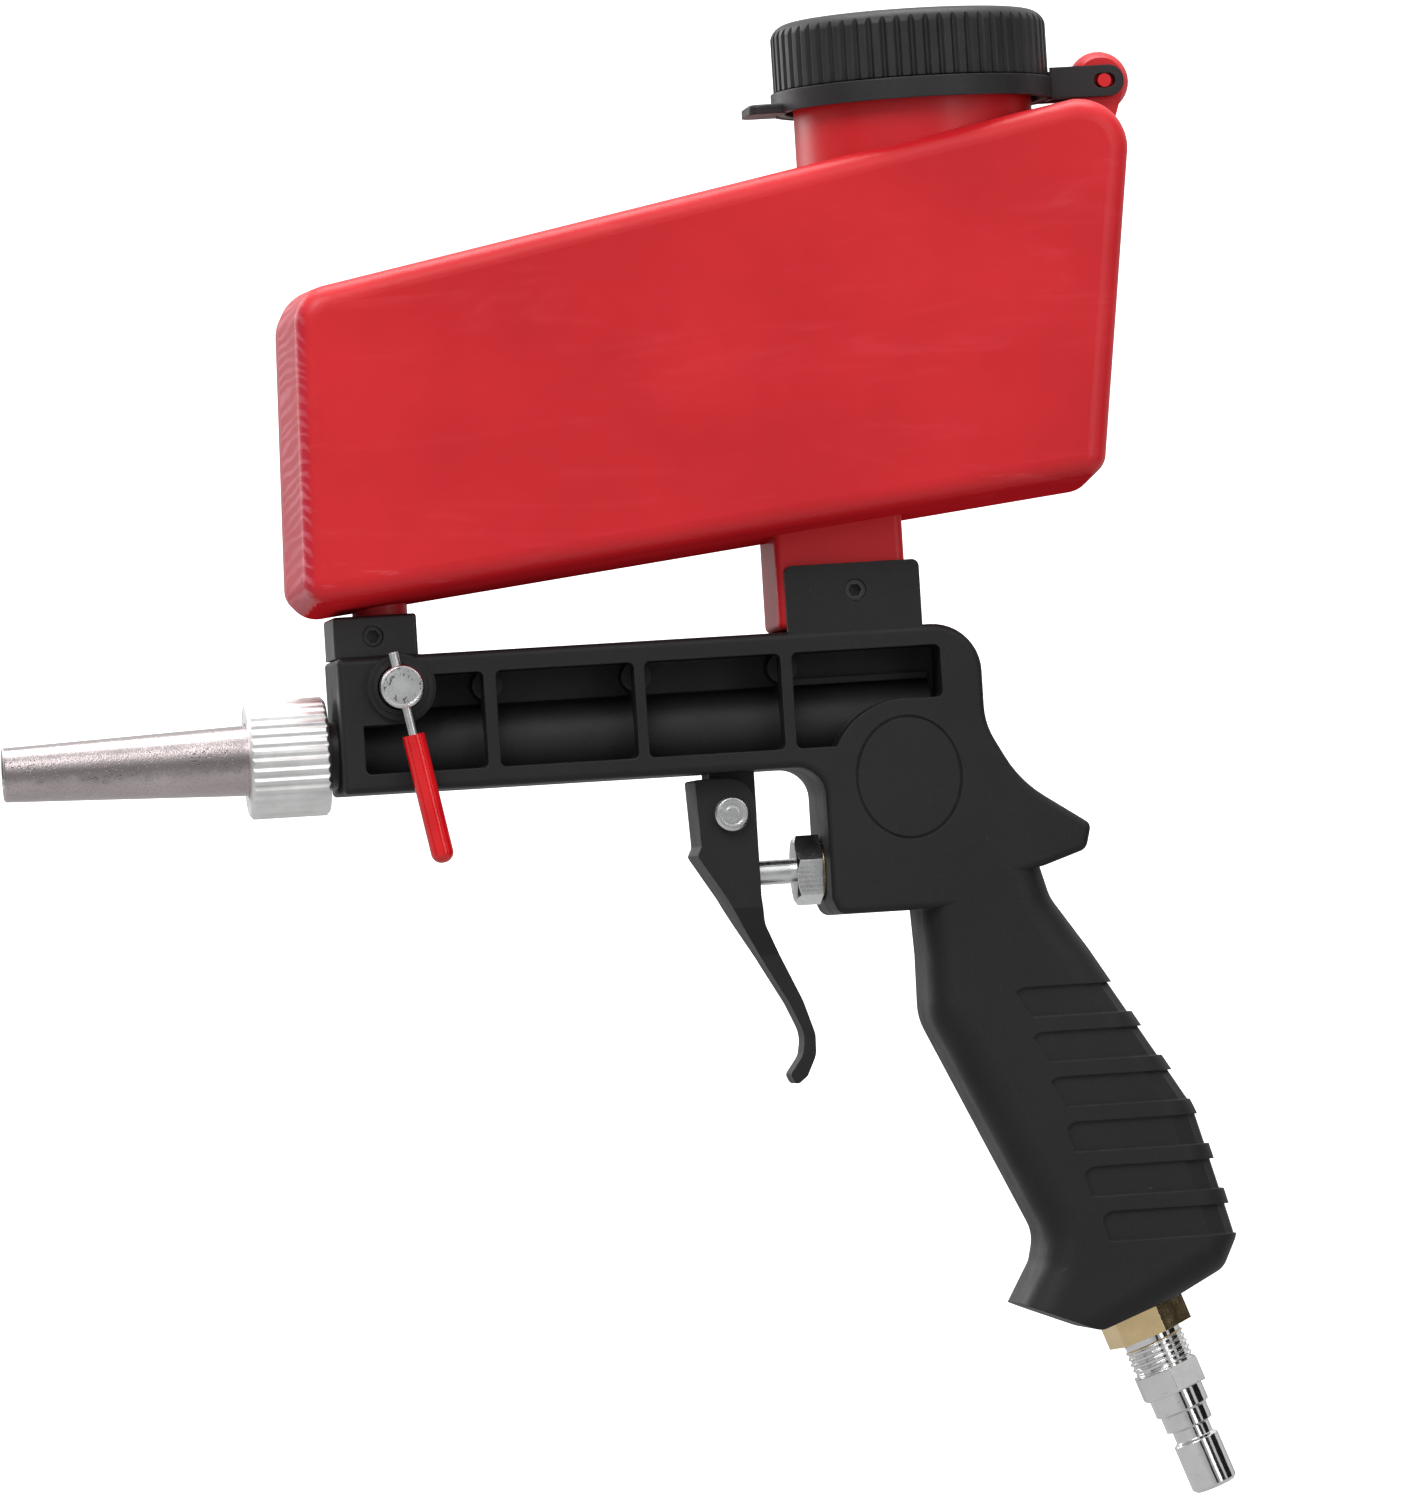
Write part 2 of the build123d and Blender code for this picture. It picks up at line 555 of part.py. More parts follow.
def rear_foot_screw():
    screw = cyl_y(2.4, -15.9, 20.4, FOOT_SCREW_X, FOOT_SCREW_Z)
    socket = Pos(FOOT_SCREW_X, -13.6, FOOT_SCREW_Z) * Rot(90, 0, 0) * extrude(RegularPolygon(1.25, 6, major_radius=False), 4)
    return one(screw - socket)


# Cap ---------------------------------------------------------------------------------------------

def cap_ring():
    ring = cyl_z(RING_R, 136.0, 140.6, NECK_X)
    tab = block(173.2, 184, -8.0, 8.0, 135.8, 138.0)
    tab = fillet(tab.edges().filter_by(Axis.Z).group_by(Axis.X)[0], 3.0)
    tab = fillet(tab.edges().filter_by(lambda e: e.center().X < 180).group_by(Axis.Z)[-1], 0.7)
    ring += tab
    ear = plate([(238.5, 135.8, 0), (257.55, 135.8, 3.45), (257.55, 142.75, 3.45), (238.5, 142.75, 0)], -7.2, -4.8)
    ring += ear + mirror(ear, Plane.XZ)
    ring -= cyl_z(31.0, 140.6, 145, NECK_X)
    ring -= cyl_z(29.6, 134, 142, NECK_X)
    ring -= cyl_z(30.4, 134, 137.4, NECK_X)
    eye = plate([(HINGE_X - 2.4, HINGE_Z - 1.6, 1.59), (HINGE_X + 2.4, HINGE_Z - 1.6, 1.59),
                 (HINGE_X + 2.4, HINGE_Z + 1.6, 1.59), (HINGE_X - 2.4, HINGE_Z + 1.6, 1.59)], -9, 9)
    return one(ring - eye)


def filler_cap():
    points = []
    for i in range(CAP_RIBS):
        for part, r in ((0.0, 29.95), (0.2, CAP_R), (0.66, CAP_R), (0.86, 29.95)):
            turn = 2 * math.pi * (i + part) / CAP_RIBS
            points.append((r * math.cos(turn), r * math.sin(turn)))
    ribbed = Pos(NECK_X, 0, 140.9) * extrude(make_face(Polyline(*points, close=True)), 15.1)
    dome = cyl_z(CAP_R + 0.1, 140.9, 156.0, NECK_X)
    dome = fillet(dome.edges().group_by(Axis.Z)[-1], 4.0)
    cap = ribbed & dome
    core = cyl_z(29.9, 140.9, 156.0, NECK_X)
    cap += fillet(core.edges().group_by(Axis.Z)[-1], 3.6)
    cap += cyl_z(29.3, 136.2, 141.2, NECK_X) + cyl_z(30.1, 136.2, 137.1, NECK_X)
    cap -= cyl_z(28.4, 135, 153.2, NECK_X)
    return one(cap)


def cap_liner():
    return one(cyl_z(27.9, 151.6, 153.1, NECK_X))


left, right = shells()
NODES = {
    "left_body_shell": left, "right_body_shell": right,
    "nozzle": nozzle(), "nozzle_nut": nozzle_nut(), "nozzle_seal": nozzle_seal(), "feed_block": feed_block(),
    "front_set_screw": front_set_screw(), "air_jet": air_jet(), "air_tube": air_tube(), "air_elbow": air_elbow(),
    "air_riser": air_riser(), "valve_spindle": valve_spindle(),
    "spindle_seal_left": spindle_ring(4.78, 3.62, -7.3, -5.7), "spindle_seal_right": spindle_ring(4.78, 3.62, 5.7, 7.3),
    "spindle_clip": spindle_ring(6.2, 3.62, 10.3, 11.1), "lever_rod": lever_rod(), "lever_sleeve": lever_sleeve(),
    "trigger": trigger(), "trigger_pin": trigger_pin(),
    "trigger_pin_nut": hex_nut(PIVOT_X, PIVOT_Z, 10.2, 13.2, 7.0, 2.0 + FIT),
    "valve_body": valve_body(), "gland_nut": gland_nut(), "stem_packing": stem_packing(), "valve_stem": valve_stem(),
    "poppet_seal": poppet_seal(), "valve_end_plug": valve_end_plug(), "valve_spring": valve_spring(),
    "inlet_pipe": inlet_pipe(), "inlet_bushing": inlet_bushing(), "inlet_plug": inlet_plug(),
    "hopper": hopper(), "rear_foot_screw": rear_foot_screw(),
    "rear_foot_nut": hex_nut(FOOT_SCREW_X, FOOT_SCREW_Z, 16.4, 20.0, 8.0, 2.4 + FIT),
    "cap_ring": cap_ring(), "filler_cap": filler_cap(), "cap_liner": cap_liner(),
}
for number, (x, z) in enumerate(SCREWS, 1):
    NODES[f"body_screw_{number}"] = body_screw(x, z)
for name, shape in NODES.items():
    shape.label = name
    export_step(shape, f"parts/{name}.step")
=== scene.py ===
"""Looks, lights and camera for the gravity-feed abrasive gun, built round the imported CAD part."""

import math

import bmesh
import bpy
from mathutils import Matrix, Vector


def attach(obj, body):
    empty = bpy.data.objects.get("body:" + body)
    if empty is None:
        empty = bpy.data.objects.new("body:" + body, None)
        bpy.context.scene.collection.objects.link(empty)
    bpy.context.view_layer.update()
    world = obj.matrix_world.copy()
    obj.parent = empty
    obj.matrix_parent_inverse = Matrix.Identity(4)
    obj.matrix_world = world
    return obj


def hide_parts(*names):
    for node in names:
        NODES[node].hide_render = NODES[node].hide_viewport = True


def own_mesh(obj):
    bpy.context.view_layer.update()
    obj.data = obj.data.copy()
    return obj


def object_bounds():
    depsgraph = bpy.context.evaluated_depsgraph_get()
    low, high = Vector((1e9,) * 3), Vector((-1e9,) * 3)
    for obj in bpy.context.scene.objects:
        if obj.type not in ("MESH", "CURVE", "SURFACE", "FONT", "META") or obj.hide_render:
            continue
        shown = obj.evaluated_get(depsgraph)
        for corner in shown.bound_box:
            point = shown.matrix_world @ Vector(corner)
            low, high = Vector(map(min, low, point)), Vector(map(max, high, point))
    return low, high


MM = 0.001
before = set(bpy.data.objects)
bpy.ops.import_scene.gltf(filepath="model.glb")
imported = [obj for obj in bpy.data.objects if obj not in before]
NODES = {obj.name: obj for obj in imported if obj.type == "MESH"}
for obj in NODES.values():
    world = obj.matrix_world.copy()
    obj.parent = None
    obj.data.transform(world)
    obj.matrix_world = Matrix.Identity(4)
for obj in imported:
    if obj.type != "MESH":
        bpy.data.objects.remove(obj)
CAD_BOX = [list(v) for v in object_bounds()]
SLOT_OF = {name: node.data.materials[0].name.split(".")[0] for name, node in NODES.items()}
for imported in list(bpy.data.materials):
    bpy.data.materials.remove(imported)
scene = bpy.context.scene

# Camera ------------------------------------------------------------------------------------------
TARGET = Vector((154.7, 0.0, -3.7)) * MM
DISTANCE = 2.4
LONG_SIDE = 0.3322
AZIMUTH = math.radians(-6.9)
ELEVATION = math.radians(-1.0)
ROLL = math.radians(3.6)
SENSOR = 36.0


def make_camera():
    back = Vector((math.sin(AZIMUTH) * math.cos(ELEVATION), -math.cos(AZIMUTH) * math.cos(ELEVATION),
                   math.sin(ELEVATION)))
    level = Vector((0, 0, 1)).cross(back).normalized()
    upright = back.cross(level)
    right = level * math.cos(ROLL) - upright * math.sin(ROLL)
    up = level * math.sin(ROLL) + upright * math.cos(ROLL)
    data = bpy.data.cameras.new("camera")
    data.sensor_width = SENSOR
    data.lens = SENSOR * DISTANCE / LONG_SIDE
    data.clip_start, data.clip_end = 0.05, 60.0
    cam = bpy.data.objects.new("camera", data)
    scene.collection.objects.link(cam)
    turn = Matrix((right, up, back)).transposed().to_4x4()
    cam.matrix_world = Matrix.Translation(TARGET + back * DISTANCE) @ turn
    scene.camera = cam


# Places taken from the part, in metres -------------------------------------------------------------

SPINDLE_X, SPINDLE_Z, SPINDLE_END = 0.0871, 0.0137, -0.0226
HOPPER_FRONT = 0.0664
HOPPER_FRONT_LEAN = 0.0277


# Node helpers ------------------------------------------------------------------------------------

class Nodes:
    """Short calls for building one material's node tree."""

    def __init__(self, name):
        self.mat = bpy.data.materials.new(name)
        self.mat.use_nodes = True
        self.tree = self.mat.node_tree
        self.bsdf = self.tree.nodes["Principled BSDF"]
        self.place = self.add("ShaderNodeTexCoord").outputs["Object"]

    def add(self, kind, **values):
        node = self.tree.nodes.new(kind)
        for key, value in values.items():
            setattr(node, key, value)
        return node

    def put(self, socket, value):
        if isinstance(value, bpy.types.NodeSocket):
            self.tree.links.new(value, socket)
        elif isinstance(value, (tuple, list)) and len(value) == 3 and socket.type == "RGBA":
            socket.default_value = (*value, 1)
        else:
            socket.default_value = value

    def set(self, **values):
        for key, value in values.items():
            self.put(self.bsdf.inputs[key.replace("_", " ")], value)

    def noise(self, scale, detail=3.0, rough=0.5, stretch=None, distort=0.0):
        node = self.add("ShaderNodeTexNoise")
        self.put(node.inputs["Vector"], self.stretched(stretch))
        self.put(node.inputs["Scale"], scale)
        self.put(node.inputs["Detail"], detail)
        self.put(node.inputs["Roughness"], rough)
        self.put(node.inputs["Distortion"], distort)
        return node.outputs["Fac"]

    def stretched(self, stretch):
        if stretch is None:
            return self.place
        node = self.add("ShaderNodeMapping")
        self.put(node.inputs["Vector"], self.place)
        node.inputs["Scale"].default_value = stretch
        return node.outputs["Vector"]

    def voronoi(self, scale):
        node = self.add("ShaderNodeTexVoronoi")
        self.put(node.inputs["Vector"], self.place)
        self.put(node.inputs["Scale"], scale)
        return node.outputs["Distance"]

    def wave(self, scale, axis="X", distort=0.0, detail=2.0, detail_scale=1.0, stretch=None):
        node = self.add("ShaderNodeTexWave", wave_type="BANDS", bands_direction=axis)
        self.put(node.inputs["Vector"], self.stretched(stretch))
        self.put(node.inputs["Scale"], scale)
        self.put(node.inputs["Distortion"], distort)
        self.put(node.inputs["Detail"], detail)
        self.put(node.inputs["Detail Scale"], detail_scale)
        return node.outputs["Fac"]

    def remap(self, value, low, high, to_low=0.0, to_high=1.0, smooth=False):
        node = self.add("ShaderNodeMapRange", interpolation_type="SMOOTHSTEP" if smooth else "LINEAR")
        for key, number in zip(("Value", "From Min", "From Max", "To Min", "To Max"),
                               (value, low, high, to_low, to_high)):
            self.put(node.inputs[key], number)
        return node.outputs["Result"]

    def math(self, operation, a, b=0.0, clamp=False):
        node = self.add("ShaderNodeMath", operation=operation, use_clamp=clamp)
        self.put(node.inputs[0], a)
        self.put(node.inputs[1], b)
        return node.outputs[0]

    def mix(self, amount, a, b):
        node = self.add("ShaderNodeMix", data_type="RGBA")
        self.put(node.inputs["Factor"], amount)
        self.put(node.inputs["A"], a)
        self.put(node.inputs["B"], b)
        return node.outputs["Result"]

    def axis(self, letter):
        node = self.add("ShaderNodeSeparateXYZ")
        self.put(node.inputs["Vector"], self.place)
        return node.outputs[letter]

    def normal_axis(self, letter):
        geo = self.add("ShaderNodeNewGeometry")
        node = self.add("ShaderNodeSeparateXYZ")
        self.put(node.inputs["Vector"], geo.outputs["True Normal"])
        return node.outputs[letter]

    def edge(self, radius, samples=4):
        """1 on sharp edges and 0 on flat faces, from the bevelled normal against the true one."""
        bevel = self.add("ShaderNodeBevel", samples=samples)
        self.put(bevel.inputs["Radius"], radius)
        geo = self.add("ShaderNodeNewGeometry")
        dot = self.add("ShaderNodeVectorMath", operation="DOT_PRODUCT")
        self.put(dot.inputs[0], bevel.outputs["Normal"])
        self.put(dot.inputs[1], geo.outputs["Normal"])
        return self.remap(dot.outputs["Value"], 0.995, 0.85, 0.0, 1.0, True)

    def bump(self, *layers, round_edges=0.0):
        """Bump layers of (height, depth in metres, strength), stacked, on softly rounded edges."""
        normal = None
        if round_edges:
            bevel = self.add("ShaderNodeBevel", samples=4)
            self.put(bevel.inputs["Radius"], round_edges)
            normal = bevel.outputs["Normal"]
        for height, depth, strength in layers:
            node = self.add("ShaderNodeBump")
            self.put(node.inputs["Height"], height)
            self.put(node.inputs["Distance"], depth)
            self.put(node.inputs["Strength"], strength)
            if normal is not None:
                self.put(node.inputs["Normal"], normal)
            normal = node.outputs["Normal"]
        self.put(self.bsdf.inputs["Normal"], normal)


def shade(color, factor):
    return tuple(min(1.0, c * factor) for c in color)


# Materials ---------------------------------------------------------------------------------------

def red_plastic():
    m = Nodes("hopper_plastic")
    red = (0.58, 0.014, 0.020)
    cloud = m.noise(22, 4, 0.55)
    fine = m.noise(900, 3, 0.6)
    streak = m.noise(60, 5, 0.65, stretch=(0.25, 1, 1.6), distort=1.2)
    base = m.mix(m.remap(cloud, 0.3, 0.7), shade(red, 0.9), shade(red, 1.1))
    base = m.mix(m.remap(streak, 0.52, 0.78, 0, 0.28, True), base, (0.72, 0.06, 0.075))
    # the blow-moulded front end has pale swirling flow lines
    ahead = m.math("SUBTRACT", m.axis("X"), m.math("MULTIPLY", m.axis("Z"), HOPPER_FRONT_LEAN))
    front = m.remap(ahead, HOPPER_FRONT + 0.0016, HOPPER_FRONT, 0, 1, True)
    swirl = m.wave(230, "DIAGONAL", 13, 5, 0.4, stretch=(1, 0.16, 1))
    # painted shade: the front end face is darkened
    base = m.mix(m.math("MULTIPLY", front, 0.7), base, (0.44, 0.022, 0.045))
    fading = m.remap(m.noise(30, 3), 0.35, 0.65, 0.25, 1)
    flow = m.math("MULTIPLY", m.remap(swirl, 0.40, 0.95, 0.0, 0.42, True), fading)
    flow = m.math("MULTIPLY", front, flow)
    base = m.mix(flow, base, (0.78, 0.27, 0.34))
    # faint scuffs along the sides
    scuff = m.noise(240, 6, 0.7, stretch=(0.12, 1, 1))
    patches = m.remap(m.noise(14, 2), 0.55, 0.7, 0, 0.5)
    scuffs = m.math("MULTIPLY", m.remap(scuff, 0.60, 0.70, 0, 1, True), patches)
    base = m.mix(scuffs, base, (0.78, 0.17, 0.19))
    rough = m.remap(cloud, 0.2, 0.8, 0.30, 0.42)
    rough = m.math("ADD", rough, m.math("MULTIPLY", scuffs, 0.2))
    # the underside and the front end are duller than the sides
    shine = m.remap(m.normal_axis("Z"), -0.9, -0.6, 0.0, 0.32)
    shine = m.math("MULTIPLY", shine, m.remap(front, 0, 1, 1, 0.6))
    m.set(Base_Color=base, Roughness=rough, Specular_IOR_Level=shine)
    m.bump((m.noise(9, 2), 0.0003, 0.2), (streak, 0.00004, 0.4), (fine, 0.00003, 0.35),
           (scuff, 0.00003, 0.4), (flow, 0.00006, 0.5))
    return m.mat


def black_plastic(name, base, rough, grain, grain_scale, gap=0.0):
    m = Nodes(name)
    cloud = m.noise(35, 4, 0.6)
    grains = m.noise(grain_scale, 2, 0.6)
    fibres = m.noise(grain_scale * 0.4, 3, 0.6, stretch=(1, 1, 0.35))
    # wear and painted highlight: the edges are lightened in patches
    wear_and_edge_highlight = m.math("MULTIPLY", m.edge(0.0006), m.remap(m.noise(180, 4), 0.4, 0.7, 0.1, 0.8))
    color = m.mix(m.remap(cloud, 0.3, 0.7), shade(base, 0.85), shade(base, 1.2))
    color = m.mix(m.remap(fibres, 0.6, 0.8, 0, 0.4), color, shade(base, 2.2))
    color = m.mix(wear_and_edge_highlight, color, shade(base, 3.4))
    dust = m.remap(m.noise(420, 5, 0.7), 0.66, 0.78, 0, 0.25, True)
    color = m.mix(dust, color, (0.13, 0.125, 0.12))
    if gap:
        # deep gaps hold no light
        hollow = m.add("ShaderNodeAmbientOcclusion", samples=6)
        m.put(hollow.inputs["Distance"], gap)
        color = m.mix(m.remap(hollow.outputs["AO"], 0.35, 0.85, 0.0, 1.0), (0.001, 0.001, 0.001), color)
    m.set(Base_Color=color, Roughness=m.remap(m.noise(120, 4), 0.25, 0.75, rough - 0.07, rough + 0.08),
          Specular_IOR_Level=0.32)
    m.bump((cloud, 0.0003, 0.3), (grains, grain, 0.8), round_edges=0.00045)
    return m.mat


def sintered_steel():
    m = Nodes("nozzle_steel")
    base = (0.62, 0.545, 0.55)
    tint = m.noise(90, 4, 0.6, stretch=(0.4, 1, 1))
    pit = m.remap(m.voronoi(1500), 0.16, 0.32, 1, 0, True)
    coarse = m.remap(m.voronoi(620), 0.10, 0.2, 1, 0, True)
    patch = m.noise(210, 5, 0.75)
    speckle = m.math("MULTIPLY", pit, m.remap(patch, 0.47, 0.60))
    spots = m.math("MULTIPLY", coarse, m.remap(patch, 0.52, 0.62))
    speckle = m.math("MAXIMUM", speckle, spots)
    # the pitting is denser in a band along the middle of the side, and a painted dark reflection darkens
    # that band
    height = m.math("ADD", m.axis("Z"), m.remap(patch, 0.3, 0.7, -0.0009, 0.0009))
    above, below = m.remap(height, -0.0036, -0.0008, 0, 1, True), m.remap(height, 0.0052, 0.0024, 0, 1, True)
    pitting_and_painted_reflection_band = m.math("MULTIPLY", above, below)
    speckle = m.math("MULTIPLY", speckle, m.remap(pitting_and_painted_reflection_band, 0, 1, 0.15, 1.0))
    grains = m.noise(1900, 3, 0.7)
    color = m.mix(m.remap(tint, 0.3, 0.7), shade(base, 0.85), shade(base, 1.12))
    # painted reflection: the band along the middle of the side is darkened
    color = m.mix(m.math("MULTIPLY", pitting_and_painted_reflection_band, 0.62), color, shade(base, 0.30))
    # painted shade: the upward-facing top of the nozzle is darkened
    color = m.mix(m.remap(m.normal_axis("Z"), 0.72, 0.96, 0, 0.6, True), color, shade(base, 0.45))
    color = m.mix(m.remap(grains, 0.45, 0.7, 0, 0.35), color, shade(base, 0.45))
    color = m.mix(m.math("MULTIPLY", speckle, 0.9), color, (0.06, 0.05, 0.05))
    m.set(Base_Color=color, Metallic=0.92)
    m.put(m.bsdf.inputs["Roughness"], m.math("ADD", m.remap(tint, 0.3, 0.7, 0.17, 0.26),
                                             m.math("MULTIPLY", speckle, 0.3)))
    m.bump((grains, 0.00006, 0.8), (speckle, -0.00012, 0.8), (m.wave(900, "X", 1.5, 2), 0.00001, 0.3),
           round_edges=0.0003)
    return m.mat


def turned_metal(name, base, rough, lines, axis, grain, dirt, whole=False):
    m = Nodes(name)
    cloud = m.noise(160, 4, 0.6)
    cut = m.wave(lines, axis, 0.6, 2)
    grime = m.remap(m.noise(320, 5, 0.7), 0.58, 0.74, 0, dirt, True)
    color = m.mix(m.remap(cloud, 0.3, 0.7), shade(base, 0.86), shade(base, 1.08))
    color = m.mix(grime, color, shade(base, 0.25))
    # painted highlight: the edges are lightened
    color = m.mix(m.math("MULTIPLY", m.edge(0.0005), 0.5), color, shade(base, 1.3))
    m.set(Base_Color=color, Metallic=1.0)
    m.put(m.bsdf.inputs["Roughness"], m.math("ADD", m.remap(cloud, 0.3, 0.7, rough - 0.05, rough + 0.07),
                                             m.math("MULTIPLY", grime, 0.5)))
    m.bump((cut, grain, 0.5), (m.noise(1500, 3, 0.6), grain, 0.6), round_edges=0.0003)
    return m if whole else m.mat


def zinc_steel():
    """Bright zinc, with the staking nicks round the rim of the media valve's spindle."""
    m = turned_metal("zinc_steel", (0.82, 0.83, 0.83), 0.24, 1200, "Y", 0.00002, 0.3, whole=True)
    x = m.math("SUBTRACT", m.axis("X"), SPINDLE_X)
    z = m.math("SUBTRACT", m.axis("Z"), SPINDLE_Z)
    radius = m.math("SQRT", m.math("ADD", m.math("MULTIPLY", x, x), m.math("MULTIPLY", z, z)))
    spoke = m.remap(m.noise(1500, 2, 0.6, stretch=(1, 0.1, 0.45)), 0.56, 0.62, 0, 1, True)
    ring = m.math("MULTIPLY", m.remap(radius, 0.0022, 0.0026), m.remap(radius, 0.0045, 0.0040))
    end = m.remap(m.axis("Y"), SPINDLE_END + 0.0004, SPINDLE_END)
    mask = m.math("MULTIPLY", m.math("MULTIPLY", spoke, ring), end)
    plain = m.bsdf.inputs["Base Color"].links[0].from_socket
    m.set(Base_Color=m.mix(m.math("MULTIPLY", mask, 0.8), plain, (0.03, 0.028, 0.026)))
    return m.mat


def chrome():
    m = Nodes("chrome_steel")
    haze = m.noise(140, 5, 0.7)
    spots = m.remap(m.noise(900, 3, 0.7), 0.64, 0.74, 0, 0.5, True)
    color = m.mix(m.remap(haze, 0.3, 0.7), (0.74, 0.74, 0.75), (0.86, 0.86, 0.86))
    color = m.mix(spots, color, (0.30, 0.28, 0.26))
    m.set(Base_Color=color, Metallic=1.0, Roughness=m.remap(haze, 0.25, 0.75, 0.04, 0.13))
    m.bump((m.noise(180, 3, 0.5), 0.00012, 0.5), (m.noise(1600, 2, 0.5), 0.00001, 0.4), round_edges=0.00035)
    return m.mat


def coated_metal():
    m = Nodes("coated_metal")
    base = (0.018, 0.018, 0.019)
    peel = m.noise(700, 2, 0.5)
    cloud = m.noise(60, 4)
    # wear and painted highlight: the edges are lightened in patches
    wear_and_edge_highlight = m.math("MULTIPLY", m.edge(0.0006), m.remap(m.noise(260, 4), 0.45, 0.65, 0.0, 1.0))
    color = m.mix(m.remap(cloud, 0.3, 0.7), shade(base, 0.85), shade(base, 1.3))
    color = m.mix(wear_and_edge_highlight, color, (0.11, 0.11, 0.11))
    m.set(Base_Color=color, Roughness=m.remap(cloud, 0.3, 0.7, 0.34, 0.46))
    m.bump((peel, 0.00008, 0.5), (m.noise(2600, 2), 0.00002, 0.5), round_edges=0.0005)
    return m.mat


def rubber():
    m = Nodes("seal_rubber")
    color = m.mix(m.remap(m.noise(300, 4), 0.3, 0.7), (0.012, 0.012, 0.012), (0.03, 0.03, 0.03))
    m.set(Base_Color=color, Roughness=m.remap(m.noise(500, 3), 0.3, 0.7, 0.6, 0.8))
    m.bump((m.noise(1800, 3), 0.00003, 0.6))
    return m.mat


def vinyl():
    m = Nodes("lever_vinyl")
    cloud = m.noise(120, 3)
    color = m.mix(m.remap(cloud, 0.3, 0.7), (0.60, 0.004, 0.008), (0.74, 0.010, 0.014))
    m.set(Base_Color=color, Roughness=m.remap(cloud, 0.3, 0.7, 0.08, 0.16), Specular_IOR_Level=0.4)
    m.set(Coat_Weight=0.4, Coat_Roughness=0.04)
    m.bump((m.noise(260, 3), 0.00025, 0.5), (m.noise(1400, 2), 0.00002, 0.4))
    return m.mat


def make_materials():
    made = {
        "hopper_plastic": red_plastic(),
        "body_plastic": black_plastic("body_plastic", (0.0095, 0.0095, 0.010), 0.52, 0.00006, 3200),
        "cap_plastic": black_plastic("cap_plastic", (0.018, 0.018, 0.019), 0.42, 0.00005, 2600, 0.003),
        "nozzle_steel": sintered_steel(),
        "knurled_aluminium": turned_metal("knurled_aluminium", (0.93, 0.93, 0.92), 0.38, 900, "X", 0.00001,
                                          0.1),
        "coated_metal": coated_metal(),
        "zinc_steel": zinc_steel(),
        "chrome_steel": chrome(),
        "brass": turned_metal("brass", (0.86, 0.66, 0.36), 0.22, 1000, "Z", 0.00001, 0.12),
        "pipe_aluminium": turned_metal("pipe_aluminium", (0.72, 0.72, 0.73), 0.33, 700, "Y", 0.00003, 0.3),
        "seal_rubber": rubber(),
        "lever_vinyl": vinyl(),
    }
    for node in NODES.values():
        dress(node, made[SLOT_OF[node.name]])
    return made


def dress(obj, mat):
    """The object's own faces, in every slot, take this material."""
    if not obj.data.materials:
        obj.data.materials.append(mat)
    for i in range(len(obj.data.materials)):
        obj.data.materials[i] = mat


# Stage -------------------------------------------------------------------------------------------

def flat_material(name, color, strength=0.0):
    mat = bpy.data.materials.new(name)
    mat.use_nodes = True
    bsdf = mat.node_tree.nodes["Principled BSDF"]
    bsdf.inputs["Base Color"].default_value = (*color, 1)
    bsdf.inputs["Roughness"].default_value = 0.9
    bsdf.inputs["Specular IOR Level"].default_value = 0.0
    bsdf.inputs["Emission Color"].default_value = (*color, 1)
    bsdf.inputs["Emission Strength"].default_value = strength
    return mat


def make_stage():
    low = CAD_BOX[0][2] - 0.09
    bpy.ops.mesh.primitive_circle_add(vertices=96, radius=9.0, fill_type="NGON", location=(0.15, 0, low))
    floor = bpy.context.object
    floor.name = "floor"
    floor.data.materials.append(flat_material("floor_paper", (0.93, 0.93, 0.93), 0.8))
    bpy.ops.mesh.primitive_uv_sphere_add(segments=64, ring_count=32, radius=9.2, location=(0.15, 0, low))
    dome = bpy.context.object
    dome.name = "backdrop"
    dome.data.materials.append(flat_material("backdrop_paper", (1, 1, 1), 1.1))
    dome.visible_diffuse = dome.visible_glossy = dome.visible_shadow = dome.visible_transmission = False
    floor.visible_diffuse = floor.visible_glossy = False
    dark_panels()


def dark_panels():
    """Black studio panels that only reflections see; they put the dark streaks on the bright metal."""
    panels = []
    for number, (turn, width, low, high) in enumerate(((-70, 0.35, -0.7, 0.9), (13, 0.24, -1.0, 0.2),
                                                       (46, 0.5, -1.0, 0.8), (84, 1.0, -0.9, 1.4))):
        bpy.ops.mesh.primitive_plane_add(size=1)
        panel = bpy.context.object
        panel.name = f"dark_panel_{number}"
        a = math.radians(turn)
        panel.scale = (width, high - low, 1)
        panel.rotation_euler = (math.radians(90), 0, a)
        panel.location = (0.15 + 1.6 * math.sin(a), -1.6 * math.cos(a), (low + high) / 2)
        panel.data.materials.append(flat_material(f"dark_panel_{number}", (0.01, 0.01, 0.01)))
        panel.visible_camera = panel.visible_diffuse = panel.visible_shadow = False
        panels.append(panel)
    return panels


def area(name, place, toward, size, power, color=(1, 1, 1)):
    data = bpy.data.lights.new(name, "AREA")
    data.shape = "RECTANGLE"
    data.size, data.size_y = size
    data.energy = power
    data.color = color
    lamp = bpy.data.objects.new(name, data)
    scene.collection.objects.link(lamp)
    place = Vector(place)
    turn = (Vector(toward) - place).to_track_quat("-Z", "Y").to_matrix().to_4x4()
    lamp.matrix_world = Matrix.Translation(place) @ turn
    return lamp


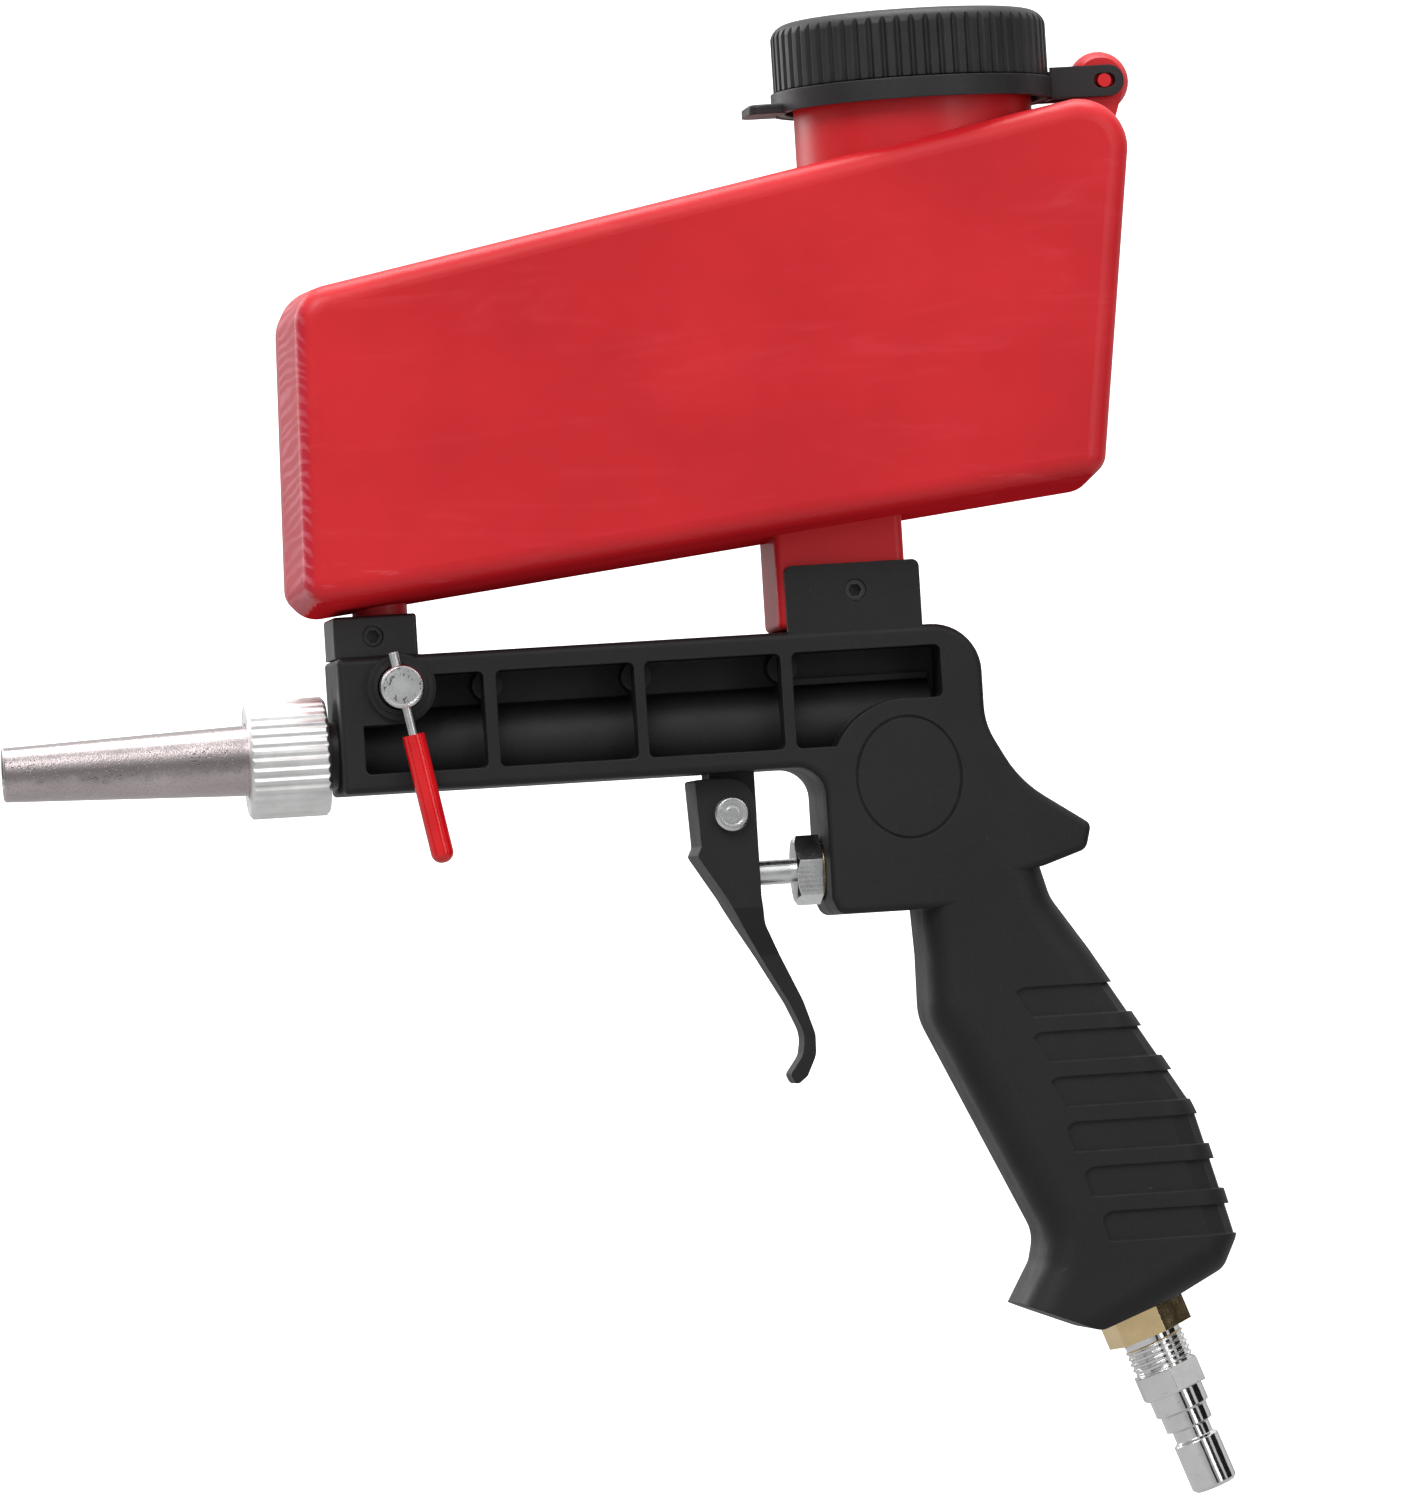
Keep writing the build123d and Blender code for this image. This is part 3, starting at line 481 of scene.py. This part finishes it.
def make_lights():
    world = bpy.data.worlds.new("studio")
    world.use_nodes = True
    tree = world.node_tree
    back = tree.nodes["Background"]
    coord = tree.nodes.new("ShaderNodeTexCoord")
    split = tree.nodes.new("ShaderNodeSeparateXYZ")
    ramp = tree.nodes.new("ShaderNodeValToRGB")
    place = tree.nodes.new("ShaderNodeMapRange")
    tree.links.new(coord.outputs["Generated"], split.inputs[0])
    tree.links.new(split.outputs["Z"], place.inputs["Value"])
    place.inputs["From Min"].default_value = -1.0
    tree.links.new(place.outputs[0], ramp.inputs[0])
    stops = ((0.0, 0.48), (0.38, 0.56), (0.455, 0.40), (0.545, 0.38), (0.61, 0.6), (0.8, 0.95), (1.0, 1.0))
    for at, value in stops[1:-1]:
        ramp.color_ramp.elements.new(at).color = (value, value, value, 1)
    for end in (0, -1):
        at, value = stops[end]
        element = ramp.color_ramp.elements[end]
        element.position, element.color = at, (value, value, value, 1)
    tree.links.new(ramp.outputs["Color"], back.inputs["Color"])
    back.inputs["Strength"].default_value = 1.05
    scene.world = world
    aim = (0.15, 0, 0)
    area("key", (-0.7, -1.5, 1.5), aim, (1.3, 1.0), 21)
    area("fill", (1.3, -1.4, 0.3), aim, (0.8, 1.6), 7)
    area("top", (0.2, 0.3, 1.7), aim, (1.6, 0.9), 24)
    area("rim", (-0.9, 1.2, 0.7), aim, (0.7, 1.2), 10)


# Added detail ------------------------------------------------------------------------------------

INLET_LEAN = math.radians(19.8)
INLET_FROM = Vector((244.75, 0, -133.4))


def new_piece(name, verts, faces, material, body):
    mesh = bpy.data.meshes.new(name)
    mesh.from_pydata([Vector(v) * MM for v in verts], [], faces)
    mesh.validate()
    piece = bpy.data.objects.new(name, mesh)
    scene.collection.objects.link(piece)
    mesh.materials.append(material)
    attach(piece, body)
    return piece


def helix(name, start, direction, radius, height, pitch, turns, material, body, steps=40):
    """A screw thread of triangular section round an axis, tapering out at both ends."""
    direction = direction.normalized()
    u = direction.orthogonal().normalized()
    v = direction.cross(u)
    verts, faces = [], []
    count = int(turns * steps)
    for i in range(count + 1):
        t = i / steps
        a = 2 * math.pi * t
        out = u * math.cos(a) + v * math.sin(a)
        grow = min(1.0, t * 2, (turns - t) * 2)
        at = start + direction * (pitch * t)
        half = 0.42 * pitch
        verts += [at + out * (radius - 0.12) - direction * half,
                  at + out * (radius + height * grow) - direction * 0.08 * pitch,
                  at + out * (radius + height * grow) + direction * 0.08 * pitch,
                  at + out * (radius - 0.12) + direction * half]
    for i in range(count):
        a, b = 4 * i, 4 * i + 4
        for k in range(4):
            n = (k + 1) % 4
            faces.append((a + k, a + n, b + n, b + k))
    faces += [(3, 2, 1, 0), tuple(4 * count + k for k in range(4))]
    return new_piece(name, verts, faces, material, body)


def parting_line(made):
    """The thin raised line where the two mould halves of the hopper met."""
    mesh = bmesh.new()
    mesh.from_mesh(NODES["hopper"].data)
    everything = mesh.verts[:] + mesh.edges[:] + mesh.faces[:]
    cut = bmesh.ops.bisect_plane(mesh, geom=everything, plane_co=(0, 0.00002, 0), plane_no=(0, 1, 0))
    edges = {e for e in cut["geom_cut"] if isinstance(e, bmesh.types.BMEdge)}
    loops = []
    while edges:
        edge = edges.pop()
        chain = [edge.verts[0], edge.verts[1]]
        grown = True
        while grown:
            grown = False
            for other in chain[-1].link_edges:
                if other in edges:
                    edges.discard(other)
                    chain.append(other.other_vert(chain[-1]))
                    grown = True
                    break
        loops.append([v.co.copy() for v in chain])
    mesh.free()
    outer = max(loops, key=lambda points: max(p.x for p in points) - min(p.x for p in points))
    curve = bpy.data.curves.new("hopper_parting_line", "CURVE")
    curve.dimensions = "3D"
    curve.bevel_depth = 0.00022
    curve.bevel_resolution = 2
    line = curve.splines.new("POLY")
    line.points.add(len(outer) - 1)
    for point, place in zip(line.points, outer):
        point.co = (place.x, 0, place.z, 1)
    piece = bpy.data.objects.new("hopper_parting_line", curve)
    scene.collection.objects.link(piece)
    curve.materials.append(made["hopper_plastic"])
    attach(piece, "gun_body")


def spring_coil(made):
    """The valve spring, as a copy of its own mesh put in place of the hidden original."""
    source = NODES["valve_spring"]
    piece = bpy.data.objects.new("valve_spring_coil", source.data.copy())
    scene.collection.objects.link(piece)
    piece.matrix_world = source.matrix_world
    dress(piece, made["zinc_steel"])
    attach(piece, "gun_body")
    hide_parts("valve_spring")
    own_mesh(piece)


def make_detail(made):
    down = Vector((math.sin(INLET_LEAN), 0, -math.cos(INLET_LEAN)))
    start = INLET_FROM + down * 6.9
    helix("plug_thread", start, down, 6.5, 0.42, 1.35, 5.2, made["chrome_steel"], "gun_body")
    parting_line(made)
    spring_coil(made)


make_camera()
materials = make_materials()
make_detail(materials)
make_stage()
make_lights()
scene.view_settings.view_transform = "Standard"
scene.view_settings.look = "None"
